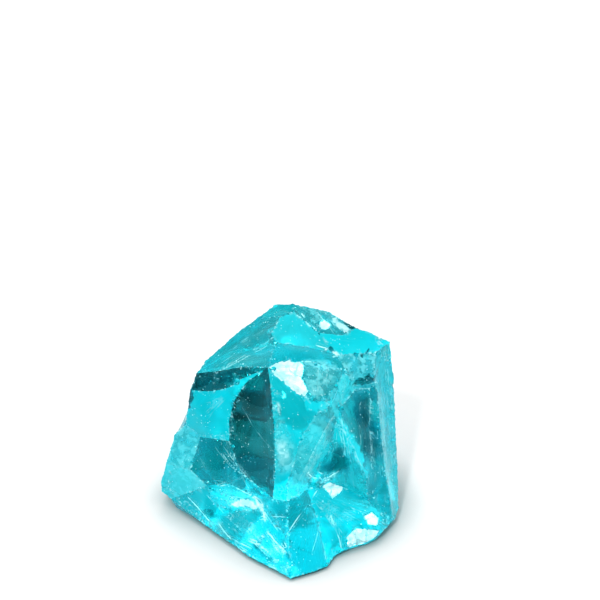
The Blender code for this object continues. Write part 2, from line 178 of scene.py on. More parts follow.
# Corners of the facets that the picture shows: x right, y back, z up
CORNERS = dict(
    shoulder=(-15.5, 5, 28), slope_low=(-13.7, 6.9, 29.6), slope_mid=(-7.3, 11.4, 33.2),
    slope_high=(-4, 13, 35), peak_left=(-0.8, 15, 36.6), peak=(2.6, 14.2, 37.2),
    crest_left=(9.3, 13.4, 36), crest_mid=(13.6, 11.3, 34.2), crest_right=(17.1, 10.7, 33),
    right_top=(20.7, 9.9, 31.4), table_back=(2.8, 12.9, 36.4), table_notch=(0.2, 11.7, 35.9),
    table_left=(-1.5, 8.3, 34.6), table_front=(-0.6, 7.2, 33.4), table_lip=(4.7, 6.8, 32.7),
    table_right=(10.9, 6, 31.4), table_dip=(7.2, 8.8, 34.4), table_edge=(12.2, 9.2, 33.4),
    brow_right=(18, 7.8, 30.5), ridge_low=(-10.8, 4.2, 29.2), ridge_high=(-6.7, 3.5, 30.6),
    scoop_left=(-2.1, 2, 31.4), scoop_top=(1.8, 3.6, 31.8), scoop_brow=(7.1, 3.8, 31.2),
    scoop_right=(12.3, 3.1, 29.8), scoop_tip=(8.3, -2.9, 27.2), scoop_low=(5.9, -3.4, 27.6),
    scoop_mid=(1.7, -0.6, 29.4), leaf_end=(-16.7, 3.7, 25), leaf_low=(-12.5, 2.8, 25.4),
    leaf_mid=(-9, 2.2, 26.8), leaf_high=(-7.1, 1.9, 28.8), petal_high=(-6.2, 1.6, 28.3),
    petal_upper=(-8.5, 1.2, 24.3), petal_side=(-9.5, 0.3, 20.3), petal_lower=(-9.5, -1.6, 17.1),
    petal_foot=(-7.3, -5.2, 12.4), keel_high=(-1.6, -1.6, 28.8), keel_upper=(-1.1, -4.8, 24.2),
    keel_mid=(-0.9, -7.2, 19.3), keel_lower=(-1, -9.4, 14.8), keel_foot=(-1.4, -10.9, 10.8),
    side_high=(-17.8, 3, 17.6), side_mid=(-15, 1.4, 15.8), side_low=(-17, -1.2, 10),
    heel=(-22.8, 0.2, 6), heel_low=(-22.6, 0.3, 3.4), heel_mid=(-21.7, 1.2, 9.5),
    heel_high=(-20, 3, 15), arc_left=(-13.8, -3.6, 8), arc_mid=(-9.6, -4.6, 9.3),
    arc_right=(-5.4, -8, 9.4), arc_end=(-3.4, -9.6, 7.6), step_left=(-12.9, -5.2, 5.4),
    step_right=(-8.3, -7.9, 5.2), foot_top=(1.2, -11.8, 11), foot_ridge=(1.5, -16.7, 5.9),
    foot_a=(3.6, -10.6, 11.2), foot_b=(5.1, -8.6, 11.2), foot_c=(7.9, -7, 10.6),
    foot_d=(11.9, -5.9, 9.2), foot_e=(13.9, -6, 8), foot_f=(16.4, -6.3, 6.4),
    foot_g=(19.8, -7.9, 3.6), fan_mid=(7, -12.4, 6.6), ledge_left=(12.3, -13, 2.6),
    ledge_mid=(14.3, -11.9, 2.9), ledge_right=(17.5, -11.4, 2.7), nook_left=(13.1, 3.6, 27.2),
    nook_right=(17.5, 3.9, 27.6), lens_right=(18, 4.2, 25.1), lens_left=(14.2, 3.6, 25.1),
    flute_top=(11.1, -1.4, 24.2), flute_a=(6.3, -4, 24.2), flute_b=(3.9, -5.6, 21),
    flute_c=(2.5, -8, 16.6), flute_d=(1.4, -9.7, 14), flute_e=(10, -2.6, 18.9),
    flute_f=(9.1, -3.6, 16.1), flute_g=(6.8, -5.4, 13.3), crease_high=(13.3, -4.8, 17.8),
    crease_low=(16.1, -6.2, 11.8), edge_high=(18.2, 2.6, 25.1), edge_mid=(19.5, -2.2, 12.8),
    edge_low=(21.1, -6.8, 3), flank_high=(21.6, 8.2, 24.6), flank_mid=(21.9, 4.6, 17.2),
    flank_low=(22.3, 1.3, 9), rim_toe=(1.8, -21.3, 0.6), rim_front_left=(-5.7, -15.5, 0.7),
    rim_left=(-14.4, -6.5, 0.9), rim_heel=(-20.9, -0.1, 2), rim_corner=(22.5, -3.3, 2),
    rim_right_front=(21.8, -5.7, 1.6), rim_ledge_right=(18.9, -10.2, 1.8),
    rim_ledge_mid=(16.7, -11.9, 1.8), rim_ledge_left=(14, -13, 1.6),
    rim_front_right=(10.2, -15.2, 0.8), rim_front_mid=(8.7, -18.1, 0.7),
    rim_front=(5.9, -19.6, 0.6),
)

# Facets: the corners round each one, the corner its fine lines spread from, how dark its painted
# shade is there and at the far end, how milky it is, how strong its fine lines are, and how grey
# its milk is, each from 0 to 1; the painted shade stands in for the stone's dark refractions
FACETS = dict(
    brow=("slope_high peak_left peak table_back table_notch", "peak", 0.15, 0.15, 0.3, 0.4, 0),
    left_slope=("shoulder slope_low slope_mid slope_high table_notch table_left table_front"
        " scoop_left ridge_high ridge_low", "shoulder", 0, 0.35, 0.32, 0.8, 0.2),
    table=("table_back table_notch table_left table_front table_lip table_right table_dip",
        "table_back", 0, 0, 0.5, 0.1, 0.12),
    streak=("peak crest_left crest_mid table_edge table_dip table_back",
        "peak", 0, 0.1, 0.35, 1, 0.6),
    patch=("crest_mid crest_right right_top brow_right table_right table_dip table_edge",
        "right_top", 0, 0, 0.55, 0.12, 0),
    forehead=("table_front table_lip table_right scoop_right scoop_brow scoop_top scoop_left",
        "scoop_left", 0.1, 0.25, 0.25, 0.3, 0),
    grey=("table_right brow_right nook_right nook_left scoop_right",
        "brow_right", 0.1, 0.1, 0.55, 0.1, 1),
    scoop=("scoop_left scoop_top scoop_brow scoop_right scoop_tip scoop_low scoop_mid",
        "scoop_left", 0, 0.15, 0.3, 0.6, 0.7),
    lens=("nook_left nook_right lens_right lens_left", "lens_right", 0.1, 0.1, 0.45, 0.3, 0.6),
    leaf=("shoulder ridge_low ridge_high scoop_left leaf_high leaf_mid leaf_low leaf_end",
        "shoulder", 0.96, 0.88, 0, 0.1, 0),
    cheek=("leaf_end leaf_low leaf_mid leaf_high scoop_left petal_high petal_upper petal_side"
        " petal_lower side_mid side_high", "side_high", 0, 0, 0.38, 0.12, 0),
    petal=("scoop_left petal_high petal_upper petal_side petal_lower petal_foot keel_foot"
        " keel_lower keel_mid keel_upper keel_high", "scoop_left", 0.97, 0.9, 0, 0.1, 0),
    jowl=("side_mid petal_lower petal_foot keel_foot arc_right arc_mid arc_left side_low",
        "petal_lower", 0.87, 0.1, 0.12, 0.2, 0),
    flank_left_high=("side_high side_mid side_low heel_mid heel_high",
        "side_mid", 0.1, 0, 0.55, 0.3, 0.8),
    flank_left_low=("heel_mid side_low arc_left rim_heel heel_low heel",
        "heel", 0, 0, 0.6, 0.2, 0.45),
    spoon=("arc_left arc_mid arc_right arc_end step_right step_left",
        "arc_left", 0.1, 0.1, 0.4, 0.5, 0),
    foot_inner=("arc_right keel_foot foot_top foot_ridge arc_end",
        "foot_top", 0.35, 0.2, 0.2, 0.4, 0),
    foot_left=("arc_left step_left step_right arc_end foot_ridge rim_toe rim_front_left rim_left"
        " rim_heel", "rim_toe", 0.4, 0.3, 0.38, 0.7, 0),
    front_right=("scoop_left scoop_mid scoop_low scoop_tip flute_a flute_b flute_c flute_d"
        " foot_top keel_foot keel_lower keel_mid keel_upper keel_high",
        "scoop_left", 0.1, 0.1, 0.42, 0.15, 0),
    flute=("scoop_right nook_left lens_left flute_top flute_e flute_f flute_g foot_b foot_a"
        " foot_top flute_d flute_c flute_b flute_a scoop_tip",
        "foot_top", 0.1, 0.05, 0.48, 0.35, 0.7),
    gusset=("flute_top crease_high crease_low foot_f foot_e foot_d foot_c foot_b flute_g flute_f"
        " flute_e", "flute_top", 0, 0.2, 0.35, 1, 0.2),
    column=("lens_left lens_right edge_high edge_mid edge_low foot_g foot_f crease_low"
        " crease_high flute_top", "lens_right", 0.5, 0.1, 0.3, 0.9, 0.25),
    flank_right=("brow_right right_top flank_high flank_mid flank_low rim_corner rim_right_front"
        " edge_low edge_mid edge_high lens_right nook_right", "right_top", 0, 0, 0.42, 0.8, 0.4),
    foot_middle=("foot_top foot_a foot_b fan_mid rim_front_mid rim_front rim_toe foot_ridge",
        "foot_b", 0.55, 0.65, 0.35, 0.12, 0),
    foot_right=("foot_b foot_c foot_d foot_e foot_f foot_g edge_low rim_right_front"
        " rim_ledge_right ledge_right ledge_mid ledge_left rim_ledge_left rim_front_right"
        " rim_front_mid fan_mid", "foot_b", 0, 0.2, 0.4, 0.4, 0),
    ledge=("ledge_left ledge_mid ledge_right rim_ledge_right rim_ledge_mid rim_ledge_left",
        "ledge_mid", 0, 0, 0.1, 0.2, 0),
)
# Look of the patches that no facet names, in the table's columns, with faint painted shade
OTHER_LOOK = (0.1, 0.2, 0.15, 0.7, 0.2)

# Places in pixels of the photograph, read off it

# Single fine light lines, partly painted highlights where fracture lines catch the light, and how
# strong they are
LIGHT_LINES = [
    (0.5, "243,409 249,419 254,428 262,438 273,451"),
    (0.35, "197,447 201,460 208,473 214,480 226,482 243,478"),
    (0.4, "224,437 229,448 236,463 243,478 249,490"),
    (0.6, "339,413 345,430 353,447 361,465 367,478"),
    (0.9, "318,346 325,348"),
    (0.5, "385,345 388,375 391,400"),
    (0.5, "337,391 331,405"),
    (1, "212,491 221,486 231,485 242,491 256,497 262,502 263,510"),
    (0.9, "263,510 270,520 279,532 286,546"),
    (0.9, "246,540 256,544 266,550 277,560 286,571"),
    (0.8, "216,520 228,536 241,550 256,559 273,566 291,576"),
    (0.8, "316,492 311,500 304,510 296,520 288,533"),
    (0.8, "331,516 335,527 339,538 341,547"),
    (0.6, "319,526 316,540 312,552"),
    (0.9, "302,314 308,322 317,331"),
    (0.8, "329,311 338,321 346,332"),
    (0.7, "346,374 352,378 352,384"),
    (1, "308,473 313,478 322,479 331,476 339,471"),
    (0.9, "310,481 318,483 328,480 337,475"),
    (1, "246,538 254,540 262,546 272,556 286,569"),
    (1, "262,536 268,540 276,548 285,558 288,566"),
    (0.9, "263,515 266,527 274,540 284,553"),
    (0.9, "225,516 236,522 250,530 262,540"),
    (0.8, "262,519 272,516 284,517"),
    (0.8, "266,524 276,523 286,526"),
    (0.9, "188,497 200,510 212,524 222,532"),
    (0.9, "226,535 238,542 250,548"),
    (1, "263,512 266,522 267,532 276,542 286,552"),
    (0.9, "243,550 252,556 261,562 278,570"),
    (0.9, "351,384 358,386 367,385 376,382"),
]

# Bundles of fine light lines, partly painted highlights like the single ones: their first and last
# line, and how many there are
BUNDLES = [
    ("236,511 256,525 273,545 289,573", "204,493 232,523 260,550 286,576", 16),
    ("214,500 232,495 252,500", "232,515 250,510 265,508", 7),
    ("293,305 306,320 320,335", "338,311 346,322 352,334", 9),
    ("206,366 238,340 272,314", "222,371 258,352 288,336", 9),
    ("360,382 357,420 360,470", "388,380 388,430 392,490", 14),
    ("350,390 322,432 291,496", "352,400 334,436 304,484", 5),
    ("342,412 356,445 370,482", "335,412 328,440 312,466", 9),
    ("199,430 216,410 233,391", "203,402 216,398 234,386", 8),
    ("320,498 346,503 380,517", "314,501 328,522 342,546", 12),
    ("212,446 222,460 236,472", "228,444 240,462 254,482", 4),
    ("306,474 317,479 334,475 345,468", "308,480 318,485 332,482 342,476", 6),
    ("300,366 303,380 312,397", "338,358 334,374 322,396", 9),
    ("383,350 388,420 394,505", "392,352 395,420 398,500", 6),
    ("278,470 284,484 288,496", "262,486 270,496 284,512", 5),
]
BUNDLE_STRENGTH = (0.2, 0.6)
LIGHT_LINE_REACH = 0.5  # millimetres on each side of a line

# Crushed places that sparkle
CRUSHED = [
    "161,486 170,487 214,524 208,529",
    "375,338 391,344 394,362 382,360",
    "330,312 352,330 350,336 336,328",
    "204,370 220,372 205,380 193,378",
    "271,378 276,392 279,420 279,470 275,470 274,420 270,392",
    "198,434 233,434 233,439 198,440",
    "236,396 231,412 227,421 231,438 235,438 232,420 236,410 240,397",
]

# Places with a tone of their own: darkness of the painted shade, milkiness, strength of the fine
# lines, how grey the milk is (2 is white, a painted highlight), and how many pixels wide the soft
# edge is
TONES = [
    ("303,308 311,305 330,322 327,330 318,329 305,316", 0, 0.5, 1, 1, 1),
    ("320,322 326,322 330,327 325,330 320,327", 0, 0.85, 0.3, 2, 1),
    ("331,316 338,319 352,331 346,333 337,327", 0, 0.85, 0.8, 2, 0),
    ("343,320 350,322 358,328 352,330 346,326", 0.95, 0, 0.3, 0, 0),
    ("365,350 368,350 368,353 365,353", 1, 0, 0, 0, 0),
    ("360,355 363,355 363,358 360,358", 1, 0, 0, 0, 0),
    ("303,361 325,360 340,366 330,386 318,398 307,392", 0.1, 0.6, 0.5, 1, 3),
    ("285,371 292,368 298,376 291,382", 0.2, 0.4, 0.3, 1, 2),
    ("322,469 330,460 335,448 341,447 347,460 349,470 336,472", 0.75, 0, 0.6, 0, 2),
    ("307,478 315,484 327,482 322,487 310,486", 0.75, 0, 0.3, 0, 1),
    ("325,348 328,348 339,353 338,356 326,351", 0, 0.9, 0.3, 2, 0),
    ("375,335 380,334 381,339 376,340", 0, 0.85, 0.3, 2, 0),
    ("218,488 238,489 258,498 263,508 250,512 232,508 224,498", 0, 0.5, 1, 0.8, 2),
    ("229,503 238,500 254,503 258,509 244,507 232,509", 0, 0.9, 0.3, 2, 0),
    ("251,495 257,496 264,506 263,513 258,508", 0, 0.9, 0.3, 2, 0),
    ("234,400 246,386 252,400 250,440 240,446 231,420", 1, 0, 0.1, 0, 3),
    ("204,521 215,518 226,530 232,540 222,538 210,528", 0, 0.6, 1.5, 1.2, 2),
    ("272,562 284,556 300,572 290,580 280,574", 0, 0.4, 2.2, 0.5, 1),
    ("232,520 256,528 284,552 288,574 262,560 240,540", 0.1, 0.35, 1.8, 0.3, 3),
    ("326,560 345,548 352,548 336,566", 0, 0.3, 2.2, 0.5, 1),
    ("345,498 376,506 394,520 382,530 366,512", 0, 0.4, 1.6, 0.3, 3),
    ("184,374 195,372 195,384 192,396 190,410 184,400", 0.9, 0, 0.3, 0, 0),
    ("356,396 368,393 376,420 381,452 372,462 360,452 352,420", 0.85, 0.05, 0.9, 0.3, 5),
    ("361,398 368,396 370,412 369,428 363,430", 0.97, 0, 0.5, 0, 2),
    ("351,384 355,379 362,377 370,374 375,379 373,382 366,383 357,385", 0.9, 0, 0.3, 0, 0),
    ("337,414 342,418 357,444 363,455 366,476 356,460 345,440", 0, 0.72, 0.5, 0, 1),
    ("276,415 282,420 292,442 296,462 288,472 277,474", 0, 0.55, 0.5, 1, 3),
    ("276,438 286,444 291,456 285,466 277,464", 0, 0.72, 0.5, 1.5, 3),
    ("277,402 280,402 281,414 278,414", 0, 0.8, 0.5, 1.8, 1),
    ("280,541 284,542 289,556 288,562 284,553", 0.85, 0, 0.3, 0, 1),
    ("253,545 260,547 271,557 276,563 268,561 258,553", 0.75, 0, 0.3, 0, 1),
    ("197,510 206,509 219,516 214,519 204,516", 0.75, 0, 0.5, 0, 1),
    ("265,512 275,508 286,513 286,534 280,534 270,524", 0.55, 0.15, 1, 0, 2),
]
TONE_WANDER = 3.0  # pixels
WANDER_SCALE = 0.9  # per millimetre

# Small breaks that mirror the key light, with white milk painted on them as a highlight
GLINTS = [
    "269,367 275,363 287,360 301,362 305,366 302,378 309,391 305,397 296,394 285,384 275,377",
    "242,499 249,498 254,506 246,508",
    "321,486 330,482 345,488 340,494 332,498",
    "363,515 372,512 379,518 378,526 368,525",
    "346,536 354,528 366,528 380,530 376,539 362,545 346,548",
    "319,322 325,320 331,325 328,330 321,329",
]
GLINT_CELL = 2.2  # millimetres
GLINT_REACH = 8.0
GLINT_TILT = 0.015


# The camera's pixels

def pixels_of(text):
    """The pixels that a text such as "300,366 303,380" names."""
    return np.array([pair.split(",") for pair in text.split()], float)


def pixel_ray(pixel):
    """Direction from the camera through a pixel of the photograph."""
    x = (pixel[0] - PICTURE / 2) / PIXEL_SCALE
    y = (PICTURE / 2 - pixel[1]) / PIXEL_SCALE
    return unit(CAMERA_AXES @ np.array([x, y, -1.0]))


def to_pixels(points):
    """Pixels of the photograph at which points in millimetres are seen."""
    seen = (points - EYE) @ CAMERA_AXES
    x = PICTURE / 2 - PIXEL_SCALE * seen[:, 0] / seen[:, 2]
    y = PICTURE / 2 + PIXEL_SCALE * seen[:, 1] / seen[:, 2]
    return np.column_stack([x, y])


def sight_on(points, triangles):
    """A function that gives the spot of the surface seen at a pixel, or None."""
    tree = BVHTree.FromPolygons([Vector(p) for p in points], triangles.tolist())
    return lambda pixel: tree.ray_cast(Vector(EYE), Vector(pixel_ray(pixel)))[0]


def direction(azimuth, elevation):
    """Unit vector for an azimuth from +Y towards +X and an elevation, both in degrees."""
    a, e = math.radians(azimuth), math.radians(elevation)
    return np.array([math.sin(a) * math.cos(e), math.cos(a) * math.cos(e), math.sin(e)])


# The stone's mesh

def welded_arrays(node):
    """Points in millimetres and triangles of a CAD node, with the split corners joined."""
    body = bmesh.new()
    body.from_mesh(node.data)
    bmesh.ops.remove_doubles(body, verts=body.verts, dist=WELD * MM)
    bmesh.ops.triangulate(body, faces=body.faces)
    body.verts.ensure_lookup_table()
    points = np.array([v.co for v in body.verts]) / MM
    triangles = np.array([[v.index for v in f.verts] for f in body.faces])
    body.free()
    return points, triangles


def edge_table(triangles):
    """Every edge once, and the three edge numbers of each triangle."""
    sides = np.concatenate([triangles[:, [0, 1]], triangles[:, [1, 2]], triangles[:, [2, 0]]])
    edges, number = np.unique(np.sort(sides, axis=1), axis=0, return_inverse=True)
    return edges, number.reshape(3, -1).T


def norms(vectors):
    return np.linalg.norm(vectors, axis=1)


def unit(vector):
    return vector / np.linalg.norm(vector)


def units(vectors):
    return vectors / np.maximum(norms(vectors), 1e-12)[:, None]


def edge_lengths(points, edges):
    return norms(points[edges[:, 0]] - points[edges[:, 1]])


def spanned(points, triangles):
    """A vector along each triangle's normal, twice as long as its area."""
    a, b, c = (points[triangles[:, k]] for k in range(3))
    return np.cross(b - a, c - a)


def triangle_normals(points, triangles):
    return units(spanned(points, triangles))


def point_normals(points, triangles):
    normals = np.zeros_like(points)
    for k in range(3):
        np.add.at(normals, triangles[:, k], spanned(points, triangles))
    return units(normals)


def in_front(points, triangles):
    """True for points that face the camera."""
    return ((EYE - points) * point_normals(points, triangles)).sum(axis=1) > 0


def line_gap(points, start, end):
    """Distance of each point from the straight line between two ends."""
    along = end - start
    share = np.clip((points - start) @ along / (along @ along), 0.0, 1.0)
    return norms(points - start - share[:, None] * along)


def facet_segments():
    """The straight lines round the named facets, each once."""
    segments = set()
    for loop, *_ in FACETS.values():
        names = loop.split()
        for here, after in zip(names, names[1:] + names[:1]):
            segments.add((min(here, after), max(here, after)))
    return [(np.array(CORNERS[a]), np.array(CORNERS[b])) for a, b in sorted(segments)]


def find_creases(points, triangles):
    """True for each edge that is a ridge or a groove of the solid."""
    edges, of_side = edge_table(triangles)
    normals = triangle_normals(points, triangles)
    pair_sum = np.zeros((len(edges), 3))
    for side in range(3):
        np.add.at(pair_sum, of_side[:, side], normals)
    half_cosine = norms(pair_sum) / 2
    creased = half_cosine < math.cos(math.radians(CREASE_ANGLE / 2))
    for start, end in facet_segments():
        near = line_gap(points, start, end) < LINE_WIDTH
        creased |= near[edges].all(axis=1)
    return creased


def find_patches(triangles, creased):
    """A patch number for each triangle: patches meet only at creases."""
    of_side = edge_table(triangles)[1]
    parent = list(range(len(triangles)))

    def root(k):
        while parent[k] != k:
            parent[k] = parent[parent[k]]
            k = parent[k]
        return k

    first_at = {}
    for triangle, sides in enumerate(of_side):
        for side in sides:
            if not creased[side]:
                parent[root(triangle)] = root(first_at.setdefault(side, triangle))
    roots = [root(k) for k in range(len(triangles))]
    return np.unique(roots, return_inverse=True)[1]


def plane_of(ring):
    """Middle of a ring of points and the axes of the plane that fits it best."""
    middle = ring.mean(axis=0)
    normal = unit(np.cross(ring - middle, np.roll(ring, -1, axis=0) - middle).sum(axis=0))
    across = unit(np.cross(normal, [0.3, 0.5, 0.8]))
    return middle, across, np.cross(normal, across), normal


def inside_ring(spots, ring):
    """Which 2-D spots lie inside the closed ring."""
    inside = np.zeros(len(spots), bool)
    for a, b in zip(ring, np.roll(ring, -1, axis=0)):
        spans = (a[1] > spots[:, 1]) != (b[1] > spots[:, 1])
        height = np.where(spans, b[1] - a[1], 1.0)
        crossing = a[0] + (spots[:, 1] - a[1]) * (b[0] - a[0]) / height
        inside ^= spans & (spots[:, 0] < crossing)
    return inside


def name_patches(points, triangles, patches):
    """Joins the patches that belong to one named facet. Facets come first, in their order."""
    centres = points[triangles].mean(axis=1)
    best = np.full(len(triangles), -1)
    nearest = np.full(len(triangles), FACET_REACH)
    for number, (loop, *_) in enumerate(FACETS.values()):
        ring = np.array([CORNERS[name] for name in loop.split()])
        middle, across, upward, normal = plane_of(ring)
        axes = np.column_stack([across, upward])
        height = np.abs((centres - middle) @ normal)
        fits = inside_ring((centres - middle) @ axes, (ring - middle) @ axes) & (height < nearest)
        best[fits] = number
        nearest[fits] = height[fits]
    named = np.zeros(len(triangles), int)
    count = len(FACETS)
    for patch in range(patches.max() + 1):
        mine = patches == patch
        winner = np.bincount(best[mine] + 1).argmax() - 1
        if winner < 0:
            winner = count
            count += 1
        named[mine] = winner
    return named


def neighbour_sums(count, edges, values):
    total = np.zeros((count,) + values.shape[1:])
    np.add.at(total, edges[:, 0], values[edges[:, 1]])
    np.add.at(total, edges[:, 1], values[edges[:, 0]])
    return total


def smooth_split(points, triangles, creased, patches):
    """One step of Loop subdivision that keeps the creases sharp."""
    edges, of_side = edge_table(triangles)
    count = len(points)
    ends = points[edges].sum(axis=1)
    across = np.zeros_like(ends)
    for side, corner in ((0, 2), (1, 0), (2, 1)):
        np.add.at(across, of_side[:, side], points[triangles[:, corner]])
    middles = np.where(creased[:, None], ends / 2, 0.375 * ends + 0.125 * across)

    degree = np.bincount(edges.ravel(), minlength=count)
    share = np.where(degree == 3, 3 / 16, 3 / (8 * degree))[:, None]
    moved = points * (1 - degree[:, None] * share) + neighbour_sums(count, edges, points) * share
    ridge_edges = edges[creased]
    ridge_degree = np.bincount(ridge_edges.ravel(), minlength=count)
    along = neighbour_sums(count, ridge_edges, points)
    moved = np.where((ridge_degree == 2)[:, None], 0.75 * points + 0.125 * along, moved)
    fixed = (ridge_degree == 1) | (ridge_degree > 2)
    moved = np.where(fixed[:, None], points, moved)

    a, b, c = triangles.T
    ab, bc, ca = (of_side + count).T
    corners = (a, ab, ca), (ab, b, bc), (ca, bc, c), (ab, bc, ca)
    split = np.concatenate([np.column_stack(three) for three in corners])
    halves = {(end, number + count) for number in np.flatnonzero(creased) for end in edges[number]}
    new_creased = np.array([(a, b) in halves for a, b in edge_table(split)[0]])
    return np.concatenate([moved, middles]), split, new_creased, np.tile(patches, 4)


def distance_from_creases(points, triangles, creased):
    """Rough distance in millimetres from each point to the nearest ridge."""
    edges = edge_table(triangles)[0]
    lengths = edge_lengths(points, edges)
    distance = np.full(len(points), RIDGE_REACH)
    distance[edges[creased].ravel()] = 0.0
    for _ in range(24):
        np.minimum.at(distance, edges[:, 0], distance[edges[:, 1]] + lengths)
        np.minimum.at(distance, edges[:, 1], distance[edges[:, 0]] + lengths)
    return distance


class Shell:
    """The break of one patch: its lines and ripples spread from the point where it was struck."""

    def __init__(self, number, points, normal):
        dice = random.Random(1000 + number)
        if number < len(FACETS):
            _, source, *self.look = list(FACETS.values())[number]
            self.source = np.array(CORNERS[source])
        else:
            self.source = points[norms(points - points.mean(axis=0)).argmax()]
            self.look = OTHER_LOOK
        self.reach = norms(points - self.source).max()
        self.length = dice.uniform(*RIPPLE_LENGTH)
        self.height = dice.uniform(*RIPPLE_HEIGHT)
        self.turn = dice.uniform(0, 2 * math.pi)
        self.across = unit(np.cross(normal, [0.31, 0.52, 0.79]))
        self.upward = np.cross(normal, self.across)

    def coordinates(self, points):
        """Distance from the strike and the angle round it, scaled to about a millimetre."""
        arm = points - self.source
        x, y = arm @ self.across, arm @ self.upward
        return np.hypot(x, y), np.arctan2(y, x) * 10.0

    def tones(self, points):
        """Darkness of the painted shade, milkiness and strength of the fine lines at each point.
        """
        near, far, milk, lines, _ = self.look
        share = norms(points - self.source) / self.reach
        dark = near + (far - near) * share
        return np.column_stack([dark, np.full(len(points), milk), np.full(len(points), lines)])

    def ripples(self, points):
        radius, angle = self.coordinates(points)
        sway = RIPPLE_SWAY[0] * np.sin(angle * RIPPLE_SWAY[1])
        waves = np.sin(2 * math.pi * radius / self.length + self.turn + sway)
        bands = 0.5 + 0.5 * np.sin(radius * RIPPLE_BANDS + self.turn * 2)
        return waves * bands * self.height


def bend_surface(points, triangles, patches, distance):
    """Adds swells and shell ripples inside each patch, and none at its ridges."""
    fade = np.clip(distance / RIDGE_FADE, 0, 1) ** FADE_POWER
    face_normals = triangle_normals(points, triangles)
    shift = np.zeros(len(points))
    shells = []
    for number in range(patches.max() + 1):
        mine = patches == number
        used = np.unique(triangles[mine])
        if not len(used):
            shells.append(None)
            continue
        shell = Shell(number, points[used], unit(face_normals[mine].mean(axis=0)))
        shells.append(shell)
        if abs(points[used, 2]).max() < 0.01:  # the resting face stays flat
            continue
        seed = Vector((number, 0, 0))
        swell = [noise.noise(Vector(place) / SWELL_LENGTH + seed) for place in points[used]]
        shift[used] = (shell.ripples(points[used]) + SWELL_HEIGHT * np.array(swell)) * fade[used]
    return points + point_normals(points, triangles) * shift[:, None], shells


def tone_places(points, triangles, tones, grey):
    """Gives the places with a tone of their own that tone."""
    seeds = Vector((10, 0, 0)), Vector((50, 0, 0))
    wander = [[noise.noise(Vector(p) * WANDER_SCALE + seed) for seed in seeds] for p in points]
    pixels = to_pixels(points) + TONE_WANDER * np.array(wander)
    facing = in_front(points, triangles)
    for outline, dark, milk, lines, greyness, soft in TONES:
        share = np.zeros(len(points))
        for turn in range(8):
            angle = math.pi / 4 * turn
            step = np.array([math.cos(angle), math.sin(angle)]) * soft / 2 * (1 + turn % 2)
            share += inside_ring(pixels + step, pixels_of(outline)) / 8
        share = (share * facing)[triangles]
        own = np.array([dark, milk, lines])
        tones[:, :, :3] += (own - tones[:, :, :3]) * share[:, :, None]
        grey += (greyness - grey) * share.mean(axis=1)


def mirror_normal(place):
    """The slope at a place that mirrors the key light to the camera."""
    return unit(unit(EYE - place) + unit(direction(*KEY_DIRECTION) * KEY_DISTANCE / MM - place))


def break_glints(points, triangles):
    """Small steps in the surface that mirror the key light, where the picture is white."""
    pixels = to_pixels(points)
    facing = in_front(points, triangles)
    seen_at = sight_on(points, triangles)
    points = points.copy()
    dice = random.Random(11)
    mirror = np.zeros(len(points), bool)
    for outline in GLINTS:
        ring = pixels_of(outline)
        close = norms(points - np.array(seen_at(ring.mean(axis=0)))) < GLINT_REACH
        chosen = np.flatnonzero(close & facing & inside_ring(pixels, ring))
        mirror[chosen] = True
        spread = pixels[chosen].max(axis=0) - pixels[chosen].min(axis=0)
        cell_area = (GLINT_CELL * PIXELS_PER_MM) ** 2
        cells = max(1, round(float(spread[0] * spread[1]) / cell_area))
        seeds = pixels[[chosen[dice.randrange(len(chosen))] for _ in range(cells)]]
        gaps = np.linalg.norm(pixels[chosen][:, None] - seeds[None], axis=2)
        cell_of = gaps.argmin(axis=1)
        for cell in range(cells):
            mine = chosen[cell_of == cell]
            if not len(mine):
                continue
            centre = points[mine].mean(axis=0)
            tilt = np.array([dice.uniform(-GLINT_TILT, GLINT_TILT) for _ in range(3)])
            normal = unit(mirror_normal(centre) + tilt)
            drop = (points[mine] - centre) @ normal
            points[mine] -= drop[:, None] * normal
    return points, mirror


def crushed_wear(points, triangles):
    pixels = to_pixels(points)
    facing = in_front(points, triangles)
    wear = np.zeros(len(points))
    for outline in CRUSHED:
        wear[facing & inside_ring(pixels, pixels_of(outline))] = CRUSHED_WEAR
    return wear


def roughen(points, triangles, wear):
    """Small jagged steps where the stone is worn, off the ground."""
    steps = np.random.default_rng(5).uniform(*JAG_SPAN, len(points)) * JAG_DEPTH * wear
    steps[points[:, 2] < JAG_GROUND] = 0.0
    return points + point_normals(points, triangles) * steps[:, None]


def all_light_lines():
    """The single lines and those of the bundles, with the strength of each."""
    dice = random.Random(21)
    lines = [(pixels_of(line), strong) for strong, line in LIGHT_LINES]
    for first, last, count in BUNDLES:
        for number in range(count):
            share = (number + dice.uniform(0.1, 0.9)) / count
            line = pixels_of(first) * (1 - share) + pixels_of(last) * share
            start, end = dice.uniform(0.0, 0.35), dice.uniform(0.65, 1.0)
            along = np.linspace(start, end, 6) * (len(line) - 1)
            steps = np.arange(len(line))
            line = np.column_stack([np.interp(along, steps, line[:, k]) for k in range(2)])
            lines.append((line, dice.uniform(*BUNDLE_STRENGTH)))
    return lines


def light_line_distances(points, triangles):
    """Signed distance from each point to the nearest fine line, and that line's strength."""
    seen_at = sight_on(points, triangles)
    pixels = to_pixels(points)
    nearest = np.full(len(points), LIGHT_LINE_REACH)
    side = nearest.copy()
    strength = np.zeros(len(points))
    for line, strong in all_light_lines():
        spots = [seen_at(pixel) for pixel in line]
        for k in range(len(line) - 1):
            if spots[k] is None or spots[k + 1] is None:
                continue
            gap = line_gap(points, np.array(spots[k]), np.array(spots[k + 1]))
            close = gap < nearest
            step = line[k + 1] - line[k]
            arm = pixels[close] - line[k]
            turn = np.sign(step[0] * arm[:, 1] - step[1] * arm[:, 0])
            nearest[close] = gap[close]
            side[close] = gap[close] * turn
            strength[close] = strong
    return side, strength


def add_object(name, data):
    made = bpy.data.objects.new(name, data)
    bpy.context.scene.collection.objects.link(made)
    return made


def store(mesh, name, kind, domain, values):
    """Keeps values on the mesh, where the material reads them by name."""
    layer = mesh.attributes.new(name, kind, domain)
    layer.data.foreach_set("color" if kind == "FLOAT_COLOR" else "value", values)


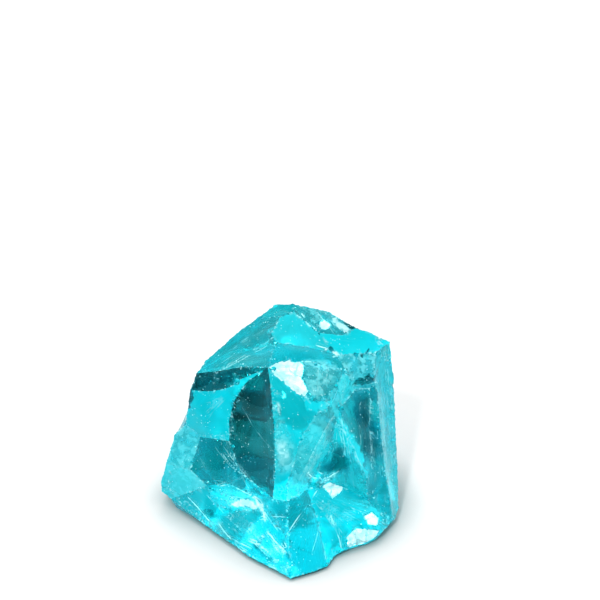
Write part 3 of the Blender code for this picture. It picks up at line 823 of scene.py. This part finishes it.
def stone_mesh(points, triangles, patches, shells, wear, light_lines, mirror):
    """The Blender mesh, with the shell coordinates, tones and wear that its material reads."""
    mesh = bpy.data.meshes.new("aquamarine_fine")
    mesh.from_pydata([tuple(p) for p in points * MM], [], triangles.tolist())
    flat = np.zeros((len(triangles), 3, 2))
    tones = np.ones((len(triangles), 3, 4))
    for number, shell in enumerate(shells):
        mine = np.flatnonzero(patches == number)
        if not len(mine):
            continue
        corners = points[triangles[mine]].reshape(-1, 3)
        radius, angle = shell.coordinates(corners)
        flat[mine] = np.column_stack([radius, angle + 80 * number]).reshape(-1, 3, 2)
        tones[mine, :, :3] = shell.tones(corners).reshape(-1, 3, 3)
    grey = np.array([shell.look[4] if shell else 0.0 for shell in shells])[patches]
    tone_places(points, triangles, tones, grey)
    # Painted highlight: white milk on the glint places
    shining = mirror[triangles].all(axis=1)
    grey[shining] = GLINT_GREY
    tones[shining, :, 1] = GLINT_MILK
    tones[shining, :, 2] = GLINT_LINES
    side, strength = light_lines
    tones[:, :, 3] = side[triangles]
    mesh.uv_layers.new(name="shell").data.foreach_set("uv", flat.ravel())
    store(mesh, "look", "FLOAT_COLOR", "CORNER", tones.ravel())
    store(mesh, "wear", "FLOAT", "POINT", wear)
    store(mesh, "light_line", "FLOAT", "POINT", strength)
    store(mesh, "grey", "FLOAT", "FACE", grey)
    return mesh


def sticks_out(points, triangles):
    """True for each edge at which the surface is convex."""
    edges, of_side = edge_table(triangles)
    normals = triangle_normals(points, triangles)
    centres = points[triangles].mean(axis=1)
    middles = points[edges].mean(axis=1)
    facing = np.zeros((len(edges), 3))
    for side in range(3):
        np.add.at(facing, of_side[:, side], normals)
    lift = np.zeros(len(edges))
    for side in range(3):
        arm = centres - middles[of_side[:, side]]
        np.add.at(lift, of_side[:, side], (arm * facing[of_side[:, side]]).sum(axis=1))
    return lift < 0


def ridge_places(points, triangles, creased):
    """Middle, length and outward normal of each ridge edge, off the ground."""
    edges = edge_table(triangles)[0][creased & sticks_out(points, triangles)]
    middles = points[edges].mean(axis=1)
    normals = point_normals(points, triangles)[edges].mean(axis=1)
    normals /= norms(normals)[:, None]
    free = middles[:, 2] > RIDGE_GROUND
    return middles[free], edge_lengths(points, edges)[free], normals[free]


def chip_cutters(points, triangles, creased):
    """Small angular chips that are gone from the ridges, in groups that don't overlap."""
    middles, lengths, normals = ridge_places(points, triangles, creased)
    pixels = to_pixels(middles)
    at_glint = np.any([inside_ring(pixels, pixels_of(outline)) for outline in GLINTS], axis=0)
    dice = random.Random(7)
    groups = [[] for _ in range(CHIP_GROUPS)]
    picks = dice.choices(range(len(middles)), weights=lengths.tolist(), k=CHIP_COUNT)
    least, most = CHIP_RADIUS
    for pick in picks:
        radius = least + (most - least) * dice.random() ** 2
        depth = min(radius * CHIP_FLATNESS, dice.uniform(*CHIP_DEPTH) * (0.5 + radius))
        tilt = Vector([dice.uniform(-CHIP_TILT, CHIP_TILT) for _ in range(3)])
        away = (Vector(normals[pick]) + tilt).normalized()
        centre = Vector(middles[pick]) + away * (radius - depth)
        if centre.z - radius < CHIP_GROUND or at_glint[pick]:
            continue
        for group in groups:
            if all((centre - other).length > radius + size + CHIP_GAP for other, size in group):
                group.append((centre, radius))
                break
    return groups


def cutter_object(name, balls):
    """Rough balls with flat faces, to be cut from the stone."""
    body = bmesh.new()
    dice = random.Random(name)
    for centre, radius in balls:
        fineness = 1 if radius < FINE_CHIP else 2
        made = bmesh.ops.create_icosphere(body, subdivisions=fineness, radius=radius * MM)
        turn = Euler([dice.uniform(0, 6.28) for _ in range(3)]).to_matrix()
        for vert in made["verts"]:
            vert.co = turn @ vert.co * dice.uniform(*CHIP_SHAPE) + centre * MM
    mesh = bpy.data.meshes.new(name)
    body.to_mesh(mesh)
    body.free()
    store(mesh, "wear", "FLOAT", "POINT", np.full(len(mesh.vertices), CHIP_WEAR))
    store(mesh, "look", "FLOAT_COLOR", "CORNER", np.tile(CHIP_LOOK, len(mesh.loops)))
    places = np.array([mesh.vertices[loop.vertex_index].co for loop in mesh.loops]) / MM
    mesh.uv_layers.new(name="shell").data.foreach_set("uv", (places[:, :2] * 3).ravel())
    return add_object(name, mesh)


def cut_chips(stone, groups):
    for number, balls in enumerate(groups):
        if not balls:
            continue
        cutter = cutter_object(f"chips_{number}", balls)
        cut = stone.modifiers.new(cutter.name, "BOOLEAN")
        cut.operation = "DIFFERENCE"
        cut.solver = "MANIFOLD"
        cut.object = cutter
        after = stone.evaluated_get(bpy.context.evaluated_depsgraph_get())
        shaped = bpy.data.meshes.new_from_object(after)
        stone.modifiers.clear()
        stone.data = shaped
        bpy.data.objects.remove(cutter)


def shade_facets(mesh):
    """Smooth shading, except across edges that are really sharp."""
    body = bmesh.new()
    body.from_mesh(mesh)
    for face in body.faces:
        face.smooth = True
    limit = math.radians(SHARP_ANGLE)
    for edge in body.edges:
        if len(edge.link_faces) == 2 and edge.calc_face_angle(0.0) > limit:
            edge.smooth = False
    body.to_mesh(mesh)
    body.free()


def make_stone():
    points, triangles = welded_arrays(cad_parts[NODE])
    creased = find_creases(points, triangles)
    patches = name_patches(points, triangles, find_patches(triangles, creased))
    for _ in range(SMOOTH_LEVELS):
        points, triangles, creased, patches = smooth_split(points, triangles, creased, patches)
    distance = distance_from_creases(points, triangles, creased)
    points, shells = bend_surface(points, triangles, patches, distance)
    points, mirror = break_glints(points, triangles)
    worn = np.clip(1 - distance / WEAR_REACH, 0, 1)
    wear = np.maximum(worn, crushed_wear(points, triangles))
    points = roughen(points, triangles, wear)
    light_lines = light_line_distances(points, triangles)
    mesh = stone_mesh(points, triangles, patches, shells, wear, light_lines, mirror)
    stone = add_object("aquamarine_stone", mesh)
    cut_chips(stone, chip_cutters(points, triangles, creased))
    shade_facets(stone.data)
    stone.data.materials.clear()
    stone.data.materials.append(crystal_material())
    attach(stone, "root")
    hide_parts(NODE)


# Materials

class Nodes:
    """Short calls that add shader nodes to a tree and link them."""

    def __init__(self, tree):
        self.tree = tree

    def feed(self, socket, value):
        if isinstance(value, bpy.types.NodeSocket):
            self.tree.links.new(value, socket)
        else:
            socket.default_value = value

    def fill(self, node, inputs):
        for name, value in inputs.items():
            self.feed(node.inputs[name], value)

    def add(self, kind, inputs=None, **settings):
        made = self.tree.nodes.new("ShaderNode" + kind)
        for name, value in settings.items():
            setattr(made, name, value)
        self.fill(made, inputs or {})
        return made

    def attribute(self, name, output="Fac"):
        return self.add("Attribute", attribute_name=name).outputs[output]

    def parts(self, color):
        """Red, green and blue."""
        return self.add("SeparateColor", {"Color": color}).outputs[:3]

    def math(self, operation, first, second=0.0, third=0.0, clamp=False):
        made = self.add("Math", operation=operation, use_clamp=clamp)
        for socket, value in zip(made.inputs, (first, second, third)):
            self.feed(socket, value)
        return made.outputs[0]

    def times(self, first, second):
        return self.math("MULTIPLY", first, second)

    def remap(self, value, low, high, to_low=0.0, to_high=1.0):
        made = self.add("MapRange")
        for socket, entry in zip(made.inputs, (value, low, high, to_low, to_high)):
            self.feed(socket, entry)
        return made.outputs[0]

    def mix(self, factor, first, second):
        made = self.add("Mix", data_type="RGBA")
        for number, value in ((0, factor), (6, first), (7, second)):
            self.feed(made.inputs[number], value)
        return made.outputs[2]

    def noise(self, vector, scale, detail, distortion=0.0):
        inputs = {"Vector": vector, "Scale": scale, "Detail": detail, "Distortion": distortion}
        return self.add("TexNoise", inputs).outputs[0]

    def stretched_noise(self, vector, stretch, detail, distortion):
        stretched = self.add("Mapping", {"Vector": vector, "Scale": stretch}).outputs[0]
        return self.noise(stretched, 1.0, detail, distortion)

    def cells(self, vector, scale, **settings):
        """Distance from the middle of a cell, and three random numbers of the cell."""
        made = self.add("TexVoronoi", {"Vector": vector, "Scale": scale}, **settings)
        return made.outputs["Distance"], *self.parts(made.outputs["Color"])


def tiny_specks(n, place, grey):
    """Tiny light specks of dust and painted sparkle in swarms, more of them on grey facets."""
    distance, chance, bright, _ = n.cells(place, SPECKS, distance="MANHATTAN")
    size = n.math("MULTIPLY_ADD", n.math("POWER", chance, RARITY), SPECK_GROWTH, SPECK_LEAST)
    swarm = n.remap(n.noise(place, *SWARMS), *SWARM_SPAN, *SWARM_SIZE)
    size = n.times(size, n.math("MULTIPLY_ADD", grey, GREY_SPECKS, swarm))
    return n.times(n.math("LESS_THAN", distance, size), n.remap(bright, 0.0, 1.0, *SPECK_LIGHT))


def drawn_lines(n, place, side, strength):
    """Light lines where the signed distance passes zero, broken up, and wider where strong."""
    wobble = n.math("MULTIPLY_ADD", n.noise(place, *WOBBLES), WOBBLE, -WOBBLE / 2)
    off = n.math("ABSOLUTE", n.math("ADD", side, wobble))
    off = n.math("DIVIDE", off, n.math("ADD", strength, 0.5))
    thin = n.remap(off, *LINE_EDGE, 1.0, 0.0)
    gaps = n.remap(n.noise(place, *GAPS), *GAP_SPAN)
    return n.times(n.times(thin, gaps), strength)


def crystal_material():
    material = bpy.data.materials.new("clear_aquamarine")
    material.use_nodes = True
    tree = material.node_tree
    n = Nodes(tree)
    shell = n.add("UVMap", uv_map="shell").outputs[0]
    place = n.add("TexCoord").outputs["Object"]
    dark, milk, lines = n.parts(n.attribute("look", "Color"))
    grey = n.attribute("grey")
    wear = n.attribute("wear")

    # Lines from each facet's strike: broad streaks, fine hackles and shell arcs
    streaks = n.remap(n.stretched_noise(shell, *STREAKS), *STREAK_SPAN)
    hackles = n.remap(n.stretched_noise(shell, *HACKLES), *HACKLE_SPAN)
    arcs = n.stretched_noise(shell, *ARCS)
    clouds = n.noise(place, *CLOUDS)

    # Light marks: threads along the hackles and drawn lines, partly painted highlights of fracture
    # lines; specks of dust and painted sparkle; and the frosting of the ridges
    runs = n.math("MULTIPLY_ADD", wear, WORN_RUNS, n.noise(place, *RUNS))
    runs = n.remap(runs, *RUN_SPAN)
    crumbs = n.times(n.remap(n.cells(place, SHARDS)[1], *CRUMB_SPAN), runs)
    frost = n.math("MULTIPLY", n.math("POWER", wear, 2.0), crumbs, clamp=True)
    threads = n.times(n.times(n.remap(hackles, *THREAD_SPAN), lines), runs)
    light_lines = drawn_lines(n, place, n.attribute("look", "Alpha"), n.attribute("light_line"))
    light = n.math("MAXIMUM", n.times(threads, THREAD_LIGHT), light_lines)
    light = n.math("MAXIMUM", light, tiny_specks(n, place, grey))
    light = n.math("MAXIMUM", light, n.times(frost, FROST_LIGHT))

    # Colour: facets darkened by painted shade are streaky, milky ones pale
    depth = n.times(dark, n.remap(streaks, 0.0, 1.0, 1.0, STREAK_SHADE))
    tint = n.mix(depth, CLEAR_TINT, PAINTED_SHADE_TINT)
    uneven = n.times(n.math("SUBTRACT", 1.0, streaks), lines)
    haze = n.times(milk, n.remap(uneven, 0.0, 1.0, 1.0, STREAK_HAZE))
    holes = n.remap(n.noise(place, *HOLES), *HOLE_SPAN)
    holes = n.times(holes, n.math("MINIMUM", grey, n.remap(grey, 1.0, 2.0, 1.0, WHITE_HOLES)))
    haze = n.times(haze, n.remap(holes, 0.0, 1.0, 1.0, HOLE_HAZE))
    milky = n.mix(grey, MILK_TINT, PALE_TINT)
    # Milk above grey 1 whitens; at grey 2 it is a painted highlight
    milky = n.mix(n.remap(grey, 1.0, 2.0), milky, WHITE_TINT)

    # Relief
    relief = n.times(n.times(hackles, lines), HACKLE_RELIEF)
    relief = n.math("MULTIPLY_ADD", arcs, ARC_RELIEF, relief)
    relief = n.math("MULTIPLY_ADD", frost, FROST_RELIEF, relief)
    bump = n.add("Bump", {"Strength": 1.0, "Distance": MM, "Height": relief})

    smooth = n.remap(clouds, *CLOUD_SPAN, *ROUGHNESS)
    n.fill(tree.nodes["Principled BSDF"], {
        "Base Color": n.mix(light, n.mix(haze, tint, milky), LIGHT_TINT),
        "Transmission Weight": n.math("SUBTRACT", 1.0, n.math("MAXIMUM", haze, light), clamp=True),
        "Roughness": n.math("MULTIPLY_ADD", light, LIGHT_ROUGHNESS, smooth),
        "Normal": bump.outputs[0],
        "IOR": IOR,
        "Specular Tint": GLOSS_TINT,
    })
    absorb = n.add("VolumeAbsorption", {"Color": ABSORB_COLOR, "Density": ABSORB_DENSITY})
    tree.links.new(absorb.outputs["Volume"], tree.nodes["Material Output"].inputs["Volume"])
    return material


def floor_material():
    """Pale paper, darker near the stone: a shadow painted into its colour."""
    material = bpy.data.materials.new("pale_paper")
    material.use_nodes = True
    n = Nodes(material.node_tree)
    grain = n.noise(n.add("TexCoord").outputs["Object"], *FLOOR_GRAIN)
    painted_shadow_occlusion = n.add("AmbientOcclusion", {"Distance": PAINTED_SHADOW_REACH * MM})
    near = n.math("POWER", painted_shadow_occlusion.outputs["AO"], PAINTED_SHADOW_POWER)
    n.fill(material.node_tree.nodes["Principled BSDF"], {
        # Painted shadow: the paper's colour mixes towards the shadow tint where occlusion finds
        # the stone
        "Base Color": n.mix(near, PAINTED_SHADOW_TINT, n.mix(grain, *FLOOR_TINTS)),
        "Roughness": n.remap(grain, 0.0, 1.0, *FLOOR_ROUGHNESS),
    })
    return material


# Stage

def make_floor():
    bpy.ops.mesh.primitive_plane_add(size=FLOOR_SIZE, location=(0.0, 0.0, -AIR_GAP * MM))
    floor = bpy.context.object
    floor.name = "floor"
    floor.data.materials.append(floor_material())


def make_camera():
    data = bpy.data.cameras.new("camera")
    data.lens = LENS
    data.sensor_width = SENSOR
    camera = add_object("camera", data)
    camera.location = CAMERA_PLACE
    camera.rotation_euler = CAMERA_ANGLES
    bpy.context.scene.camera = camera


def soft_box(name, place, size, power):
    data = bpy.data.lights.new(name, "AREA")
    data.shape = "SQUARE"
    data.size = size
    data.energy = power
    light = add_object(name, data)
    light.location = place
    light.rotation_euler = (LIGHT_AIM - Vector(place)).to_track_quat("-Z", "Y").to_euler()


def make_world():
    """A white studio that is brightest above and behind, and dim where the camera stands."""
    world = bpy.data.worlds.new("studio")
    bpy.context.scene.world = world
    world.use_nodes = True
    n = Nodes(world.node_tree)
    split = n.add("SeparateXYZ", {"Vector": n.add("TexCoord").outputs["Generated"]})
    level = n.math("MULTIPLY_ADD", split.outputs["Y"], STUDIO_BACK, STUDIO_LEVEL)
    level = n.math("MULTIPLY_ADD", split.outputs["Z"], STUDIO_UP, level)
    level = n.math("MAXIMUM", level, STUDIO_LEAST)
    seen = n.add("LightPath").outputs["Is Camera Ray"]
    n.fill(world.node_tree.nodes["Background"], {
        "Color": (1.0, 1.0, 1.0, 1.0),
        "Strength": n.remap(seen, 0.0, 1.0, level, STUDIO_SEEN),
    })


def make_stage():
    make_floor()
    make_camera()
    make_world()
    soft_box("key_box", Vector(direction(*KEY_DIRECTION)) * KEY_DISTANCE, KEY_SIZE, KEY_POWER)
    soft_box("top_box", TOP_PLACE, TOP_SIZE, TOP_POWER)
    scene = bpy.context.scene
    scene.view_settings.view_transform = "Standard"
    scene.cycles.max_bounces = BOUNCES
    scene.cycles.glossy_bounces = BOUNCES
    scene.cycles.transmission_bounces = BOUNCES


make_stage()
make_stone()
